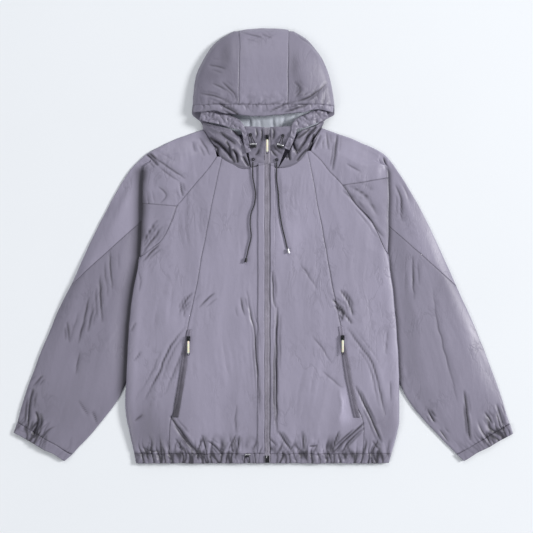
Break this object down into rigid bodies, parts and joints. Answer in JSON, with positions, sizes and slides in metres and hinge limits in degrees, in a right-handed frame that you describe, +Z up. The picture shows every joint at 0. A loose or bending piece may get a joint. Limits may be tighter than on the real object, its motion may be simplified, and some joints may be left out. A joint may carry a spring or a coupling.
{
  "type": "windbreaker jacket",
  "caption": "Hooded hip-length windbreaker of thin nylon with raglan sleeves, front zip, zipped pockets and drawcords, laid flat and face up.",
  "frame": {"origin": "on the surface the jacket lies on, under the middle of its overall length and width", "axes": "+X towards the right of a viewer who faces the laid-out front, +Y from the hem to the hood, +Z up from the surface"},
  "size_m": [1.0506, 0.9155, 0.0345],
  "materials": {
    "nylon": "thin, slightly glossy woven nylon in grey-mauve",
    "lining": "pale grey woven lining",
    "coil": "dark mauve zip tape and nylon coil",
    "cord": "black round braided cord",
    "black_plastic": "black moulded plastic",
    "cream_rubber": "cream moulded rubber pull",
    "slider_metal": "dark painted zinc slider",
    "bead_steel": "plain bright metal"
  },
  "bodies": {
    "jacket": {"back_panel": "nylon", "front_centre_left": "nylon", "front_centre_right": "nylon", "front_side_left": "nylon", "front_side_right": "nylon", "sleeve_shoulder_left": "nylon", "sleeve_shoulder_right": "nylon", "sleeve_lower_left": "nylon", "sleeve_lower_right": "nylon", "cuff_left": "nylon", "cuff_right": "nylon", "hem_front_left": "nylon", "hem_front_right": "nylon", "hem_back": "nylon", "placket_left": "nylon", "placket_right": "nylon", "collar_left": "nylon", "collar_right": "nylon", "hood_centre": "nylon", "hood_side_left": "nylon", "hood_side_right": "nylon", "hood_neck_left": "nylon", "hood_neck_right": "nylon", "hood_brim": "nylon", "hood_casing_left": "nylon", "hood_casing_right": "nylon", "hood_lining": "lining", "front_zip": "coil", "zip_box": "black_plastic", "front_slider": "slider_metal", "pocket_zip_left": "coil", "pocket_zip_right": "coil", "pocket_slider_left": "slider_metal", "pocket_slider_right": "slider_metal", "eyelet_upper_left": "black_plastic", "eyelet_upper_right": "black_plastic", "eyelet_lower_left": "black_plastic", "eyelet_lower_right": "black_plastic", "cord_lock_left": "black_plastic", "cord_lock_right": "black_plastic", "cord_short_left": "cord", "cord_short_right": "cord", "cord_left": "cord", "cord_right": "cord", "cord_bead_left": "black_plastic", "cord_bead_right": "bead_steel", "hem_eyelet": "bead_steel", "hem_cord_loop": "cord"},
    "front_pull_tab": {"front_pull": "cream_rubber"},
    "pocket_pull_tab_left": {"pocket_pull_left": "cream_rubber"},
    "pocket_pull_tab_right": {"pocket_pull_right": "cream_rubber"}
  },
  "joints": [
    {"name": "front_pull_hinge", "type": "hinge", "parent": "jacket", "child": "front_pull_tab", "pos_m": [0.008, 0.2263, 0.03095], "axis": [-1, 0, 0], "range_deg": [0, 170]},
    {"name": "pocket_pull_left_hinge", "type": "hinge", "parent": "jacket", "child": "pocket_pull_tab_left", "pos_m": [-0.157, -0.1947, 0.02375], "axis": [-1, 0, 0], "range_deg": [0, 170]},
    {"name": "pocket_pull_right_hinge", "type": "hinge", "parent": "jacket", "child": "pocket_pull_tab_right", "pos_m": [0.166, -0.1927, 0.02375], "axis": [-1, 0, 0], "range_deg": [0, 170]}
  ]
}
